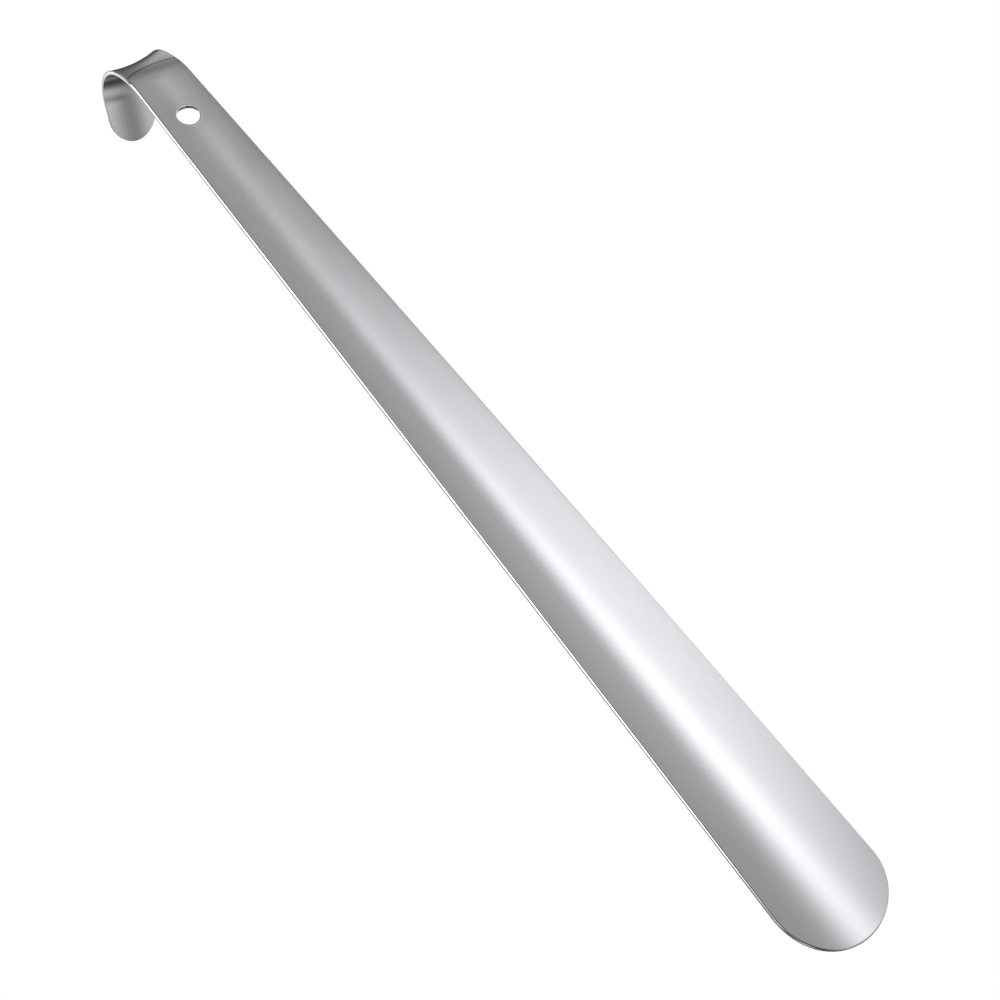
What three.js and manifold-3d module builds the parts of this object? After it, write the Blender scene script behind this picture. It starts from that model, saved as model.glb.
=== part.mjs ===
// A long metal shoehorn: one strip of stainless steel sheet, pressed to a shallow channel, rounded at both ends,
// punched with a hanging hole and bent backwards at the top to a hook.
//
// Millimetres, +Z up, as it hangs. The hollow side of the channel is the front and faces -Y, and X is its width.
// The origin is the underside of the hook's crest, in the middle of the width, where a rail or peg carries it.
//
// The sheet is described by its front face. A station is a distance along that face's centreline, from the blade's
// tip, up the shank, round the bend and down the hook's leg.

import * as THREE from "three";
import { mergeVertices } from "three/addons/utils/BufferGeometryUtils.js";
import Module from "manifold-3d";

// ---------- driving dimensions ----------

const overallLength = 420; // blade tip to the highest point of the hook
const sheetThickness = 1.5;

const bladeWidth = 42; // at the tip, before it is rounded
const bladeDepth = 3.3; // how far the edges stand in front of the channel's middle
const tipLength = 21; // the rounded stretch of the blade

const neckWidth = 21; // where the hook begins
const neckDepth = 2.8;

const bendRadius = 20.8; // outside of the bend
const bendAngle = THREE.MathUtils.degToRad(113);
const saddleRise = 1.3; // the edges of the bend stand above its middle
const saddleLead = 3; // the channel begins to flatten to the saddle this far below the bend
const saddleRun = 9; // and is flat this far round it

const legLength = 18.5; // the straight leg of the hook, to its end
const legWidth = 19; // at its end, before it is rounded
const legDepth = 0.8;
const legEndLength = 12; // the rounded stretch of the leg

const holeDiameter = 8.3;
const holeHeight = 378.5; // hole centre above the blade's tip

// ---------- worked out from them ----------

const bendStart = overallLength - saddleRise - bendRadius;
const bendEnd = bendStart + bendRadius * bendAngle;
const sheetEnd = bendEnd + legLength;
const bendCentreZ = sheetThickness - bendRadius;

// The channel is a circular arc across the width. This is its curvature for a depth over a width.
function arcCurvature(depth, width) {
  return (2 * depth) / (depth ** 2 + (width / 2) ** 2);
}

const bladeCurvature = arcCurvature(bladeDepth, bladeWidth);
const neckCurvature = arcCurvature(neckDepth, neckWidth);
const saddleCurvature = arcCurvature(saddleRise, neckWidth);
const legCurvature = arcCurvature(legDepth, neckWidth);

// ---------- the sheet's form ----------

const { lerp, smoothstep } = THREE.MathUtils;

// Half the width at a station: a straight taper up the shank, a slighter one over the hook, and round ends.
function halfWidth(station) {
  const overHook = (station - bendStart) / (sheetEnd - bendStart);
  const side =
    station < bendStart
      ? lerp(bladeWidth, neckWidth, station / bendStart) / 2
      : lerp(neckWidth, legWidth, overHook) / 2;
  const intoTip = Math.max(0, 1 - station / tipLength);
  const intoLegEnd = Math.max(0, 1 - (sheetEnd - station) / legEndLength);
  const inset = Math.max(intoTip, intoLegEnd);
  return side * Math.sqrt(Math.max(0, 1 - inset ** 2));
}

// The channel's curvature at a station, blade to neck, then into the saddle of the bend and out to the leg.
function channelCurvature(station) {
  const shank = lerp(bladeCurvature, neckCurvature, Math.min(station / bendStart, 1));
  const intoSaddle = smoothstep(station, bendStart - saddleLead, bendStart + saddleRun);
  const intoLeg = smoothstep(station, lerp(bendStart, bendEnd, 0.6), bendEnd + legLength / 3);
  return lerp(lerp(shank, saddleCurvature, intoSaddle), legCurvature, intoLeg);
}

// The front face's centreline: its place, and how far its outward normal has turned up from straight forward.
function centreline(station) {
  const turn = THREE.MathUtils.clamp((station - bendStart) / bendRadius, 0, bendAngle);
  const below = Math.max(0, bendStart - station);
  const beyond = Math.max(0, station - bendEnd);
  return {
    y: -bendRadius * Math.cos(turn) + beyond * Math.sin(turn),
    z: bendCentreZ + bendRadius * Math.sin(turn) + beyond * Math.cos(turn) - below,
    turn,
  };
}

// A point of the sheet: across the width from the middle, and down through the thickness from the front face.
function sheetPoint(station, across, down) {
  const { y, z, turn } = centreline(station);
  const curvature = channelCurvature(station);
  const lean = curvature * across;
  const upright = Math.sqrt(1 - lean ** 2);
  const rise = (1 - upright) / curvature - down * upright;
  return new THREE.Vector3(across + down * lean, y - rise * Math.cos(turn), z + rise * Math.sin(turn));
}

// ---------- the body ----------

const columns = 12; // across the width
const endRows = 8; // round each end
const shankRows = 24;
const leadRows = 2;
const bendRows = 20;
const legRows = 3;

// Stations that divide a quarter turn of a rounded end evenly, from its outermost point inwards.
function roundedEnd(length) {
  return Array.from({ length: endRows }, (_, row) => {
    const angle = ((Math.PI / 2) * row) / endRows;
    return length * (1 - Math.cos(angle));
  });
}

function evenly(from, to, rows) {
  return Array.from({ length: rows }, (_, row) => lerp(from, to, row / rows));
}

function rowStations() {
  return [
    ...roundedEnd(tipLength),
    ...evenly(tipLength, bendStart - saddleLead, shankRows),
    ...evenly(bendStart - saddleLead, bendStart, leadRows),
    ...evenly(bendStart, bendEnd, bendRows),
    ...evenly(bendEnd, sheetEnd - legEndLength, legRows),
    sheetEnd - legEndLength,
    ...roundedEnd(legEndLength)
      .map((inset) => sheetEnd - inset)
      .reverse(),
  ];
}

// A thin block of cells, one deep, formed to the sheet. The end rows are cut square over a short chord.
function formedSheet() {
  const stations = rowStations();
  const rows = stations.length - 1;
  const widths = stations.map(halfWidth);
  widths[0] = widths[1] / 2;
  widths[rows] = widths[rows - 1] / 2;

  const block = new THREE.BoxGeometry(2, rows, 1, columns, rows, 1);
  const position = block.getAttribute("position");
  for (let i = 0; i < position.count; i++) {
    const row = Math.round(position.getY(i) + rows / 2);
    const across = position.getX(i) * widths[row];
    const down = position.getZ(i) > 0 ? 0 : sheetThickness;
    position.setXYZ(i, ...sheetPoint(stations[row], across, down));
  }
  return block;
}

function hangingHole() {
  const punch = new THREE.CylinderGeometry(holeDiameter / 2, holeDiameter / 2, 8 * sheetThickness, 36);
  const { y, z } = centreline(holeHeight);
  return punch.translate(0, y, z);
}

// ---------- cutting ----------

const wasm = await Module();
wasm.setup();

function toSolid(geometry) {
  const bare = geometry.clone();
  bare.deleteAttribute("normal");
  bare.deleteAttribute("uv");
  const merged = mergeVertices(bare, 1e-4);
  return new wasm.Manifold(
    new wasm.Mesh({
      numProp: 3,
      vertProperties: new Float32Array(merged.getAttribute("position").array),
      triVerts: new Uint32Array(merged.index.array),
    }),
  );
}

function toGeometry(solid) {
  const mesh = solid.getMesh();
  const geometry = new THREE.BufferGeometry();
  geometry.setAttribute("position", new THREE.BufferAttribute(mesh.vertProperties, 3));
  geometry.setIndex(new THREE.BufferAttribute(mesh.triVerts, 1));
  geometry.computeVertexNormals();
  return geometry;
}

// ---------- the part ----------

const stainlessSteel = new THREE.MeshStandardMaterial({
  color: new THREE.Color(0.62, 0.63, 0.65),
  roughness: 0.35,
  metalness: 1,
});

const body = new THREE.Mesh(toGeometry(toSolid(formedSheet()).subtract(toSolid(hangingHole()))), stainlessSteel);
body.name = "shoehorn_body";

const shoehorn = new THREE.Group();
shoehorn.add(body);

export default shoehorn;
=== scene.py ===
"""Long shoehorn: the fine sheet-metal body, its satin steel, the studio and the camera."""

import math

import bpy
import numpy as np
from mathutils import Matrix, Vector

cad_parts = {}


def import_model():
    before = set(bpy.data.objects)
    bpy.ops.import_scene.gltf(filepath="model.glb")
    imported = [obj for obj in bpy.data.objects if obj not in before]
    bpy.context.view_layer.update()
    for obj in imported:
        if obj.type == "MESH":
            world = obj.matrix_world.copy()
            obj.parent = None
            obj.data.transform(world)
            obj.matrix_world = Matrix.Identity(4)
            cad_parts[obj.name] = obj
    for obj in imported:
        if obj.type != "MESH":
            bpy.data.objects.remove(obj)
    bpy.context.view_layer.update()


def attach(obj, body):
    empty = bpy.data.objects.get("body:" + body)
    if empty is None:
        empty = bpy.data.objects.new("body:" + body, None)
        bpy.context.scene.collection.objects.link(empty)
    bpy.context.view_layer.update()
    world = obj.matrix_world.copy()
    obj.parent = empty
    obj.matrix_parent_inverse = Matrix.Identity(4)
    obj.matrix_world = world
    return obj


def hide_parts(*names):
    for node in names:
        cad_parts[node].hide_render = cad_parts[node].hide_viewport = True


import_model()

NODE = "shoehorn_body"
BODY = "root"

# ---------- the CAD model's driving dimensions, in millimetres ----------
# The frame: +Z up along the length, the hollow front faces -Y, X is the width, and the origin is the
# underside of the hook's crest. A station is a distance along the front face's centreline, from the blade's
# tip, up the shank, round the bend and down the hook's leg.

OVERALL_LENGTH = 420.0
SHEET_THICKNESS = 1.5
BLADE_WIDTH = 42.0
BLADE_DEPTH = 3.3
TIP_LENGTH = 21.0
NECK_WIDTH = 21.0
NECK_DEPTH = 2.8
BEND_RADIUS = 20.8
BEND_ANGLE = math.radians(113)
SADDLE_RISE = 1.3
SADDLE_LEAD = 3.0
SADDLE_RUN = 9.0
LEG_LENGTH = 18.5
LEG_WIDTH = 19.0
LEG_DEPTH = 0.8
LEG_END_LENGTH = 12.0
HOLE_DIAMETER = 8.3
HOLE_HEIGHT = 378.5

BEND_START = OVERALL_LENGTH - SADDLE_RISE - BEND_RADIUS
BEND_END = BEND_START + BEND_RADIUS * BEND_ANGLE
SHEET_END = BEND_END + LEG_LENGTH
BEND_CENTRE_Z = SHEET_THICKNESS - BEND_RADIUS

MM = 0.001  # the scene is in metres


def arc_curvature(depth, width):
    """The curvature of a circular arc of that depth over that width."""
    return 2 * depth / (depth**2 + (width / 2) ** 2)


BLADE_CURVATURE = arc_curvature(BLADE_DEPTH, BLADE_WIDTH)
NECK_CURVATURE = arc_curvature(NECK_DEPTH, NECK_WIDTH)
SADDLE_CURVATURE = arc_curvature(SADDLE_RISE, NECK_WIDTH)
LEG_CURVATURE = arc_curvature(LEG_DEPTH, NECK_WIDTH)


# ---------- the sheet's form, as in the CAD model ----------


def lerp(a, b, share):
    return a + (b - a) * share


def smoothstep(value, low, high):
    share = np.clip((value - low) / (high - low), 0, 1)
    return share * share * (3 - 2 * share)


def side_distance(station):
    """Half the width of the strip before its ends are rounded."""
    up_shank = np.clip(station / BEND_START, 0, 1)
    over_hook = np.clip((station - BEND_START) / (SHEET_END - BEND_START), 0, 1)
    return (lerp(BLADE_WIDTH, NECK_WIDTH, up_shank) + (LEG_WIDTH - NECK_WIDTH) * over_hook) / 2


def channel_curvature(station):
    shank = lerp(BLADE_CURVATURE, NECK_CURVATURE, np.clip(station / BEND_START, 0, 1))
    into_saddle = smoothstep(station, BEND_START - SADDLE_LEAD, BEND_START + SADDLE_RUN)
    into_leg = smoothstep(station, lerp(BEND_START, BEND_END, 0.6), BEND_END + LEG_LENGTH / 3)
    return lerp(lerp(shank, SADDLE_CURVATURE, into_saddle), LEG_CURVATURE, into_leg)


def sheet_points(station, across, down):
    """Points of the sheet, in metres: across the width from the middle, and down from the front face."""
    turn = np.clip((station - BEND_START) / BEND_RADIUS, 0, BEND_ANGLE)
    below = np.maximum(0, BEND_START - station)
    beyond = np.maximum(0, station - BEND_END)
    y = -BEND_RADIUS * np.cos(turn) + beyond * np.sin(turn)
    z = BEND_CENTRE_Z + BEND_RADIUS * np.sin(turn) + beyond * np.cos(turn) - below
    curvature = channel_curvature(station)
    lean = curvature * across
    upright = np.sqrt(1 - lean**2)
    rise = (1 - upright) / curvature - down * upright
    x = across + down * lean
    return np.stack([x, y - rise * np.cos(turn), z + rise * np.sin(turn)], -1) * MM


# ---------- the body's mesh ----------
# The flat strip is a grid of rows and columns with its outline drawn in by the edge's reach, and a square
# of it round the hole is filled with rings instead. Front and back share that layout, and chamfered bands
# join them.

COLUMNS = 48
TIP_ROWS = 26
SHANK_ROW = 3.5  # length of a row of the shank
HOLE_ROWS = 18  # rows and columns of the square round the hole
HOLE_RINGS = 6
RING_CROWDING = 0.8  # below 1, these rings crowd towards the hole
NECK_ROWS = 9  # between the hole's square and the bend
BEND_ROWS = 56
BEND_OVERRUN = 2.0  # the bend's fine rows run on this far past it
STRAIGHT_LEG_ROWS = 4
LEG_ROWS = 18  # from there to the end, bowing to the leg's rounded end in place of the straight ones
HOLDING = 0.004  # a row this share in from the tip's boundary keeps the face's shading true right up to it
LEG_HOLDING = 3 * HOLDING  # the same at the leg's end, where the rows are shorter
CORNER_RADIUS = 0.05  # of the small rounds on either side of a chamfer
CORNER_STEPS = 3
CHAMFER_REACH = 0.13  # how far outwards a chamfer goes
CHAMFER_RINGS = (0.12, 0.88, 1.0)  # rings at these shares of a chamfer, which keep its shading flat
FRONT_CHAMFER = math.radians(70)  # its slope from the front face
BACK_CHAMFER = math.radians(76.5)
EDGE_REACH = CORNER_RADIUS + CHAMFER_REACH  # the faces are drawn in by this much
TIP_BLEND = 34.0  # rows straighten over this length above the rounded tip
STRIP_PLACE = "strip_place"  # the point attribute with each point's place on the strip


def column_angles():
    return np.linspace(-math.pi / 2, math.pi / 2, COLUMNS + 1)


def hole_square():
    """Half the width of the square round the hole."""
    angle = column_angles()[COLUMNS // 2 + HOLE_ROWS // 2]
    return (side_distance(HOLE_HEIGHT) - EDGE_REACH) * math.sin(angle)


def straight_rows():
    """Stations of the rows that run straight across, from above the tip to the leg's rounded end."""
    half = hole_square()
    low = TIP_LENGTH + TIP_BLEND
    leg_end = SHEET_END - LEG_END_LENGTH
    shank = np.linspace(low, HOLE_HEIGHT - half, round((HOLE_HEIGHT - half - low) / SHANK_ROW) + 1)
    hole = np.linspace(HOLE_HEIGHT - half, HOLE_HEIGHT + half, HOLE_ROWS + 1)
    neck = np.linspace(HOLE_HEIGHT + half, BEND_START - SADDLE_LEAD, NECK_ROWS + 1)
    bend = np.linspace(BEND_START - SADDLE_LEAD, BEND_END + BEND_OVERRUN, BEND_ROWS + 1)
    leg = np.linspace(BEND_END + BEND_OVERRUN, leg_end, STRAIGHT_LEG_ROWS + 1)
    return np.concatenate([shank[:-1], hole[:-1], neck[:-1], bend[:-1], leg]), len(shank) - 1


def flat_grid():
    """(station, across) of every grid point, and the row where the hole's square begins."""
    angles = column_angles()
    rows, hole_row = straight_rows()
    first, last = rows[0], rows[-1]
    stations = []
    for share in (0, HOLDING, *np.linspace(0, 1, TIP_ROWS + 1)[1:-1]):
        side = lerp(TIP_LENGTH, first, share)
        bulge = lerp(TIP_LENGTH - EDGE_REACH, 0, share)
        stations.append(side - bulge * np.cos(angles))
    stations += [np.full(COLUMNS + 1, row) for row in rows]
    bow_from = rows[-1 - STRAIGHT_LEG_ROWS]
    stations = [s for s in stations if s[0] <= bow_from]
    for share in (*np.linspace(0, 1, LEG_ROWS + 1)[1:-1], 1 - LEG_HOLDING, 1):
        side = lerp(bow_from, last, share)
        bulge = lerp(0, LEG_END_LENGTH - EDGE_REACH, share)
        stations.append(side + bulge * np.cos(angles))
    stations = np.array(stations)
    across = (side_distance(stations) - EDGE_REACH) * np.sin(angles)
    return np.stack([stations, across], -1), TIP_ROWS + 1 + hole_row


class Layout:
    """The flat pattern: points, quads and boundary loops, with each loop's outward directions."""

    def __init__(self):
        grid, hole_row = flat_grid()
        self.rows = len(grid)
        self.points = [tuple(p) for p in grid.reshape(-1, 2)]
        self.quads = []
        left = COLUMNS // 2 - HOLE_ROWS // 2
        for row in range(self.rows - 1):
            for column in range(COLUMNS):
                in_rows = hole_row <= row < hole_row + HOLE_ROWS
                if not (in_rows and left <= column < left + HOLE_ROWS):
                    self.quads.append(
                        (self.at(row, column), self.at(row, column + 1),
                         self.at(row + 1, column + 1), self.at(row + 1, column))
                    )
        self.outline = self.loop(0, 0, self.rows - 1, COLUMNS)
        square = self.loop(hole_row, left, hole_row + HOLE_ROWS, left + HOLE_ROWS)
        self.hole = self.fill_to_hole(square)

    def at(self, row, column):
        return row * (COLUMNS + 1) + column

    def loop(self, low_row, low_column, high_row, high_column):
        """Grid points round a rectangle of the grid, seen from the front, anticlockwise."""
        bottom = [self.at(low_row, c) for c in range(low_column, high_column)]
        right = [self.at(r, high_column) for r in range(low_row, high_row)]
        top = [self.at(high_row, c) for c in range(high_column, low_column, -1)]
        left = [self.at(r, low_column) for r in range(high_row, low_row, -1)]
        return bottom + right + top + left

    def fill_to_hole(self, square):
        """Rings from the square to the hole's rim. Returns the rim's loop."""
        centre = np.array([HOLE_HEIGHT, 0.0])
        corners = np.array([self.points[i] for i in square]) - centre
        directions = corners / np.linalg.norm(corners, axis=1, keepdims=True)
        rim = directions * (HOLE_DIAMETER / 2 + EDGE_REACH)
        previous = square
        for ring in range(1, HOLE_RINGS + 1):
            start = len(self.points)
            share = (ring / HOLE_RINGS) ** RING_CROWDING
            self.points += [tuple(p) for p in centre + lerp(corners, rim, share)]
            current = list(range(start, start + len(square)))
            self.bridge(previous, current)
            previous = current
        return previous

    def bridge(self, outer, inner):
        for i in range(len(outer)):
            j = (i + 1) % len(outer)
            self.quads.append((outer[i], outer[j], inner[j], inner[i]))

    def outward(self, loop):
        """The points of a loop with the metal on its left, and unit directions away from the metal."""
        p = np.array([self.points[i] for i in loop])
        along = np.roll(p, -1, axis=0) - np.roll(p, 1, axis=0)
        normal = np.stack([-along[:, 1], along[:, 0]], -1)
        return p, normal / np.linalg.norm(normal, axis=1, keepdims=True)


def strip_places(flat, down):
    """(across, station, down) of each point in millimetres, so the material follows the bend."""
    return np.stack([flat[:, 1], flat[:, 0], np.full(len(flat), down)], -1)


def edge_corner(slope):
    """(outwards, down) of each ring from a face's boundary to the edge's flat: round, chamfer, round."""
    rings = [(0.0, 0.0)]

    def turn(start, end):
        out, down = rings[-1]
        for angle in np.linspace(start, end, CORNER_STEPS + 1)[1:]:
            reach = math.sin(angle) - math.sin(start)
            drop = math.cos(start) - math.cos(angle)
            rings.append((out + CORNER_RADIUS * reach, down + CORNER_RADIUS * drop))

    def straight(reach, drop, shares):
        out, down = rings[-1]
        for share in shares:
            rings.append((out + reach * share, down + drop * share))

    turn(0.0, slope)
    straight(CHAMFER_REACH, CHAMFER_REACH * math.tan(slope), CHAMFER_RINGS)
    turn(slope, math.pi / 2)
    straight(0.0, CORNER_RADIUS, (1.0,))
    return rings[1:]


def edge_profile():
    """(outwards, down) of each ring of the edge, from the front face's boundary to the back face's."""
    back = [(out, SHEET_THICKNESS - down) for out, down in edge_corner(BACK_CHAMFER)]
    return edge_corner(FRONT_CHAMFER) + back[::-1]


def body_mesh():
    layout = Layout()
    flat = np.array(layout.points)
    count = len(flat)
    front = sheet_points(flat[:, 0], flat[:, 1], 0.0)
    back = sheet_points(flat[:, 0], flat[:, 1], SHEET_THICKNESS)
    points = [front, back]
    places = [strip_places(flat, 0.0), strip_places(flat, SHEET_THICKNESS)]
    faces = list(layout.quads) + [tuple(i + count for i in reversed(q)) for q in layout.quads]
    total = 2 * count
    for loop in (layout.outline, layout.hole[::-1]):
        base, direction = layout.outward(loop)
        previous = list(loop)
        for out, down in edge_profile():
            ring = base + direction * out
            points.append(sheet_points(ring[:, 0], ring[:, 1], down))
            places.append(strip_places(ring, down))
            current = list(range(total, total + len(loop)))
            total += len(loop)
            for i in range(len(loop)):
                j = (i + 1) % len(loop)
                faces.append((previous[i], current[i], current[j], previous[j]))
            previous = current
        closing = [i + count for i in loop]
        for i in range(len(loop)):
            j = (i + 1) % len(loop)
            faces.append((previous[i], closing[i], closing[j], previous[j]))
    mesh = bpy.data.meshes.new("shoehorn")
    mesh.from_pydata(np.concatenate(points).tolist(), [], faces)
    mesh.update()
    place = mesh.attributes.new(STRIP_PLACE, "FLOAT_VECTOR", "POINT")
    place.data.foreach_set("vector", np.concatenate(places).astype(np.float32).ravel())
    mesh.shade_smooth()
    return mesh


# ---------- materials ----------


class Nodes:
    """Short ways to add nodes to a tree."""

    def __init__(self, owner):
        owner.use_nodes = True
        self.nodes, self.links = owner.node_tree.nodes, owner.node_tree.links

    def add(self, kind, **inputs):
        """A node with inputs set by value or from another node. Input names have _ for a space."""
        node = self.nodes.new("ShaderNode" + kind)
        for name, value in inputs.items():
            self.put(value, node.inputs[name.replace("_", " ")])
        return node

    def put(self, value, socket):
        if isinstance(value, bpy.types.NodeSocket):
            self.links.new(value, socket)
        else:
            socket.default_value = value

    def math(self, operation, *values):
        node = self.nodes.new("ShaderNodeMath")
        node.operation = operation
        for socket, value in zip(node.inputs, values):
            self.put(value, socket)
        return node.outputs[0]

    def bell(self, value, centre, spread, power=2.0):
        """1 at the centre, about a third one spread away. A higher power is flatter on top."""
        offset = self.math("ABSOLUTE", self.math("DIVIDE", self.math("SUBTRACT", value, centre), spread))
        return self.math("EXPONENT", self.math("MULTIPLY", self.math("POWER", offset, power), -1.0))

    def noise(self, x, y, z, detail):
        place = self.add("CombineXYZ", X=x, Y=y, Z=z)
        return self.add("TexNoise", Vector=place.outputs["Vector"], Scale=1.0, Detail=detail).outputs["Fac"]

    def blend(self, share, first, second):
        node = self.nodes.new("ShaderNodeMix")
        node.data_type = "RGBA"
        colours = [socket for socket in node.inputs if socket.type == "RGBA"]
        self.put(share, node.inputs["Factor"])
        self.put(first, colours[0])
        self.put(second, colours[1])
        return next(socket for socket in node.outputs if socket.type == "RGBA")


STEEL_LIGHT = (0.95, 0.945, 0.985, 1)
STEEL_DARK = (0.885, 0.88, 0.925, 1)
SATIN = 0.205  # roughness of the faces
POLISHED = 0.12  # roughness of the edges

# Noise: how fine it is per millimetre across and along, and its detail.
GRAIN = (3.2, 0.09, 3.0)
SPECKLE = (2.0, 2.0, 2.0)
CLOUDS = (0.09, 0.035, 3.0)
GRAIN_ROUGHNESS = 0.05  # how much of the roughness each of these varies
CLOUD_ROUGHNESS = 0.06

RING_MARK = (0.72, 0.715, 0.75, 1)  # faint rings round the hole
RING_SPACING = 1.15
RING_BAND = (6.6, 2.6)  # the band's middle, from the hole's centre, and its spread
RING_STRENGTH = 0.4
RING_HEIGHT = 0.5

PAINTED_DARK_REFLECTION = (0.32, 0.32, 0.34, 1)  # painted reflection: a dark line across the front of the bend, put into the steel's colour
DARK_REFLECTION_STATION = 406.4  # its station in the middle of the width
DARK_REFLECTION_BOW = 0.040  # it drops towards the edges with the square of the distance across
DARK_REFLECTION_SPREAD = 0.5
DARK_REFLECTION_STRENGTH = 0.9
FRONT_SKIN = 0.01  # less far down than this is the front face

EDGE_SPREAD = 0.62  # each way from the middle of the thickness
EDGE_FLATNESS = 8.0
BUMP_STRENGTH = 0.25
BUMP_DISTANCE = 0.00002


def steel_material():
    """Satin steel: fine lengthwise grain, polished edges, rings round the hole, a painted dark reflection in
    the bend.
    """
    material = bpy.data.materials.new("satin_stainless_steel")
    tree = Nodes(material)
    shader = tree.nodes["Principled BSDF"]
    attribute = tree.add("Attribute")
    attribute.attribute_name = STRIP_PLACE
    across, station, down = tree.add("SeparateXYZ", Vector=attribute.outputs["Vector"]).outputs

    def strip_noise(fine_across, fine_along, detail):
        x = tree.math("MULTIPLY", across, fine_across)
        y = tree.math("MULTIPLY", station, fine_along)
        return tree.noise(x, y, down, detail)

    grain = strip_noise(*GRAIN)
    speckle = strip_noise(*SPECKLE)
    clouds = strip_noise(*CLOUDS)

    from_hole = tree.math("SUBTRACT", station, HOLE_HEIGHT)
    across_squared = tree.math("MULTIPLY", across, across)
    hole_distance = tree.math("SQRT", tree.math("MULTIPLY_ADD", from_hole, from_hole, across_squared))
    wave = tree.math("SINE", tree.math("MULTIPLY", hole_distance, 2 * math.pi / RING_SPACING))
    wave_height = tree.math("MULTIPLY_ADD", wave, 0.5, 0.5)
    rings = tree.math("MULTIPLY", wave_height, tree.bell(hole_distance, *RING_BAND))

    # Painted reflection: a dark line across the front face of the bend, bowed towards the edges, put into
    # the colour.
    on_front = tree.math("LESS_THAN", down, FRONT_SKIN)
    bowed = tree.math("MULTIPLY_ADD", across_squared, DARK_REFLECTION_BOW, station)
    painted_reflection = tree.math("MULTIPLY", tree.bell(bowed, DARK_REFLECTION_STATION, DARK_REFLECTION_SPREAD), on_front)

    colour = tree.blend(clouds, STEEL_DARK, STEEL_LIGHT)
    colour = tree.blend(tree.math("MULTIPLY", rings, RING_STRENGTH), colour, RING_MARK)
    # The painted dark reflection darkens the steel's colour along that line.
    colour = tree.blend(tree.math("MULTIPLY", painted_reflection, DARK_REFLECTION_STRENGTH), colour, PAINTED_DARK_REFLECTION)
    tree.put(colour, shader.inputs["Base Color"])

    on_edge = tree.bell(down, SHEET_THICKNESS / 2, EDGE_SPREAD, EDGE_FLATNESS)
    roughness = tree.math("MULTIPLY_ADD", tree.math("SUBTRACT", clouds, 0.5), CLOUD_ROUGHNESS, SATIN)
    roughness = tree.math("MULTIPLY_ADD", tree.math("SUBTRACT", grain, 0.5), GRAIN_ROUGHNESS, roughness)
    roughness = tree.math("MULTIPLY_ADD", on_edge, POLISHED - SATIN, roughness)
    tree.put(roughness, shader.inputs["Roughness"])

    height = tree.math("MULTIPLY_ADD", speckle, 0.5, tree.math("MULTIPLY", grain, 0.5))
    height = tree.math("MULTIPLY_ADD", rings, RING_HEIGHT, height)
    bump = tree.add("Bump", Strength=BUMP_STRENGTH, Distance=BUMP_DISTANCE, Height=height)
    tree.put(bump.outputs["Normal"], shader.inputs["Normal"])
    shader.inputs["Metallic"].default_value = 1.0
    return material


FLOOR_DARK = (0.95, 0.95, 0.955, 1)
FLOOR_LIGHT = (0.99, 0.99, 0.99, 1)
FLOOR_ROUGHNESS = 0.7
MOTTLE = (3.0, 4.0)  # how fine it is per metre, and its detail
FIBRE = (90.0, 3.0)
FIBRE_SHARE = 0.3


def floor_material():
    """Pale matt paper with a faint mottle."""
    material = bpy.data.materials.new("pale_floor")
    tree = Nodes(material)
    shader = tree.nodes["Principled BSDF"]
    x, y, z = tree.add("SeparateXYZ", Vector=tree.add("TexCoord").outputs["Object"]).outputs

    def floor_noise(fine, detail):
        return tree.noise(tree.math("MULTIPLY", x, fine), tree.math("MULTIPLY", y, fine), z, detail)

    mottle = tree.math("MULTIPLY", floor_noise(*MOTTLE), 1 - FIBRE_SHARE)
    shade = tree.math("MULTIPLY_ADD", floor_noise(*FIBRE), FIBRE_SHARE, mottle)
    tree.put(tree.blend(shade, FLOOR_DARK, FLOOR_LIGHT), shader.inputs["Base Color"])
    shader.inputs["Roughness"].default_value = FLOOR_ROUGHNESS
    return material


# ---------- the pieces ----------

body = bpy.data.objects.new("shoehorn_sheet", body_mesh())
bpy.context.scene.collection.objects.link(body)
body.data.materials.append(steel_material())
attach(body, BODY)
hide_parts(NODE)


# ---------- the studio ----------

FLOOR_Z = -1.0
FLOOR_SIZE = 60.0


def floor():
    half = FLOOR_SIZE / 2
    mesh = bpy.data.meshes.new("floor")
    corners = ((-half, -half), (half, -half), (half, half), (-half, half))
    mesh.from_pydata([(x, y, FLOOR_Z) for x, y in corners], [], [(0, 1, 2, 3)])
    plane = bpy.data.objects.new("floor", mesh)
    bpy.context.scene.collection.objects.link(plane)
    mesh.materials.append(floor_material())
    plane.visible_glossy = False  # the steel reflects only the surroundings


# Soft lights round the shoehorn. Azimuths are from straight in front, positive towards +X, and elevations
# are from level, both in degrees, with how far the light spreads each way and how flat its top is.
SOFT_LIGHTS = (
    # azimuth, elevation, azimuth spread, elevation spread, flatness, strength
    (24, 10.5, 9, 12, 2, 0.50),  # upright strip that draws the line up the middle of the channel
    (-4, 17, 41, 7.4, 6, 0.70),  # long level panel in front, which brightens the middle of the shank
    (38, 28, 86, 30, 4, 0.30),  # dim fill in front
    (54, 18, 18, 5.5, 2, 0.095),  # faint panel on the right, which widens the light on the blade's left half
    (12, 28.5, 13, 4.5, 2, 0.12),  # faint panel in front, which widens the light on the upper shank
    (-100, 20, 15, 32, 6, 2.2),  # side panel, on the left edge
    (-42, -22, 24, 17, 2, 0.85),  # low panel in front, on the left
    (30, -22, 26, 17, 2, 0.7),  # low panel in front, on the right
    (118, -5, 20, 24, 2, 1.0),  # upright strip behind, on the right
    (-152, 42, 22, 14, 2, 1.1),  # high panel behind, on the left
    (-140, -28, 14, 22, 2, 0.6),  # upright strip behind, on the left
    (50, -64, 32, 14, 2, 1.4),  # reflector below, along the tip's corner
    (172, -55, 26, 15, 2, 0.50),  # reflector below, behind
    (0, -90, 1000, 16.5, 4, 0.60),  # reflector straight below
    (110, -57, 28, 7, 2, 0.60),  # reflector below, behind on the right
    (0, 90, 1000, 25, 4, 0.42),  # overhead
)
SURROUNDINGS = 0.03


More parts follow.
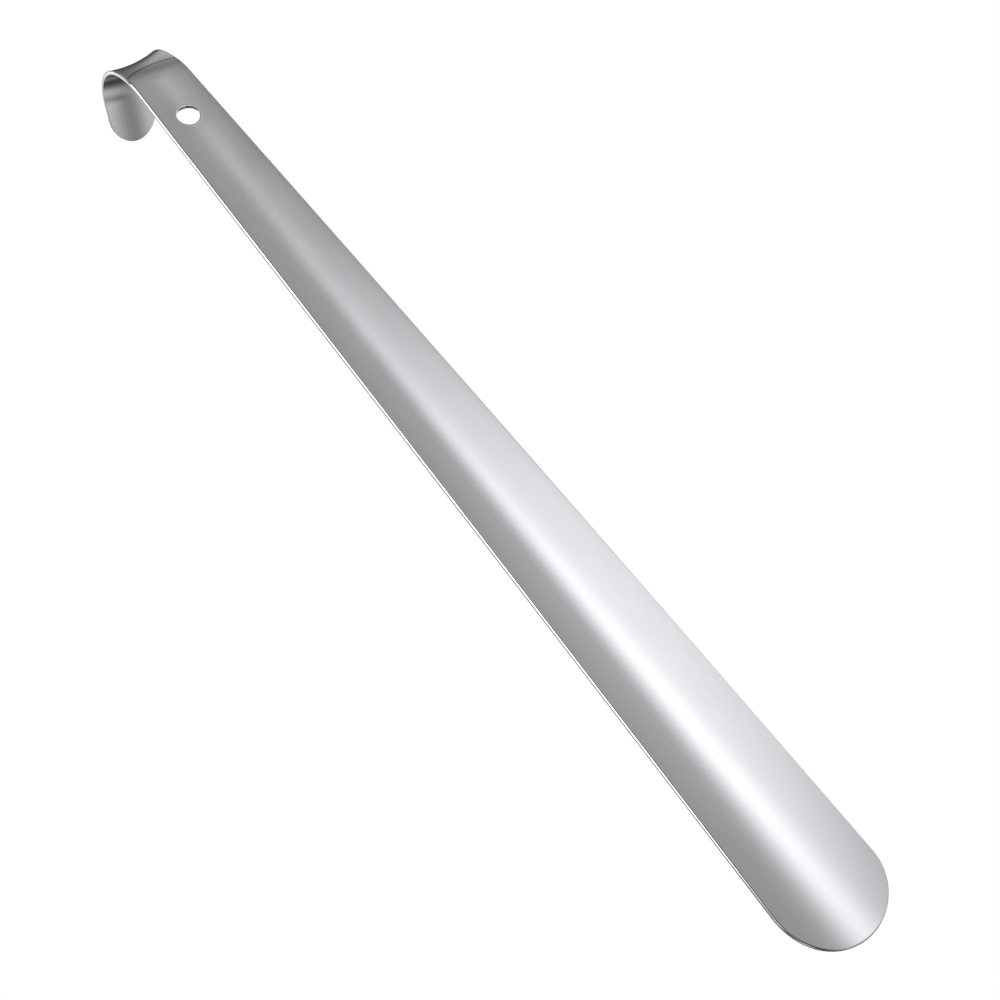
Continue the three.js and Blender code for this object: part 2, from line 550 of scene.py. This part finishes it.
def world():
    """Soft lights in dark surroundings, for reflections. The camera and matt surfaces see plain white."""
    scene_world = bpy.data.worlds.new("studio")
    bpy.context.scene.world = scene_world
    tree = Nodes(scene_world)
    tree.nodes.clear()
    x, y, z = tree.add("SeparateXYZ", Vector=tree.add("TexCoord").outputs["Generated"]).outputs
    azimuth = tree.math("DEGREES", tree.math("ARCTAN2", x, tree.math("MULTIPLY", y, -1.0)))
    elevation = tree.math("DEGREES", tree.math("ARCSINE", z))

    level = SURROUNDINGS
    for light_azimuth, light_elevation, azimuth_spread, elevation_spread, flatness, strength in SOFT_LIGHTS:
        turned = tree.math("WRAP", tree.math("SUBTRACT", azimuth, light_azimuth), 180.0, -180.0)
        sideways = tree.bell(turned, 0.0, azimuth_spread, flatness)
        upright = tree.bell(elevation, light_elevation, elevation_spread, flatness)
        level = tree.math("MULTIPLY_ADD", tree.math("MULTIPLY", sideways, upright), strength, level)

    lit = tree.add("Background", Color=level)
    white = tree.add("Background", Color=(1, 1, 1, 1))
    ray = tree.add("LightPath").outputs
    sees_white = tree.math("MAXIMUM", ray["Is Camera Ray"], ray["Is Diffuse Ray"])
    mix = tree.add("MixShader", Fac=sees_white)
    tree.put(lit.outputs["Background"], mix.inputs[1])
    tree.put(white.outputs["Background"], mix.inputs[2])
    tree.add("OutputWorld", Surface=mix.outputs["Shader"])


floor()
world()
bpy.context.scene.view_settings.view_transform = "Standard"


# ---------- the camera ----------

TARGET = Vector((-0.0010, -0.0208, -0.2286))
CAMERA_DISTANCE = 0.9258
CAMERA_AZIMUTH = math.radians(25.73)  # to the left of straight ahead
CAMERA_ELEVATION = math.radians(-21.35)  # below the middle, looking up
CAMERA_ROLL = math.radians(39.32)
CAMERA_LENS = 100.44
SENSOR_WIDTH = 36.0


def camera():
    data = bpy.data.cameras.new("camera")
    data.sensor_width = SENSOR_WIDTH
    data.lens = CAMERA_LENS
    away = Vector(
        (
            -math.sin(CAMERA_AZIMUTH) * math.cos(CAMERA_ELEVATION),
            -math.cos(CAMERA_AZIMUTH) * math.cos(CAMERA_ELEVATION),
            math.sin(CAMERA_ELEVATION),
        )
    )
    eye = bpy.data.objects.new("camera", data)
    bpy.context.scene.collection.objects.link(eye)
    place = Matrix.Translation(TARGET + away * CAMERA_DISTANCE)
    aim = (-away).to_track_quat("-Z", "Y").to_matrix().to_4x4()
    eye.matrix_world = place @ aim @ Matrix.Rotation(-CAMERA_ROLL, 4, "Z")
    bpy.context.scene.camera = eye


camera()
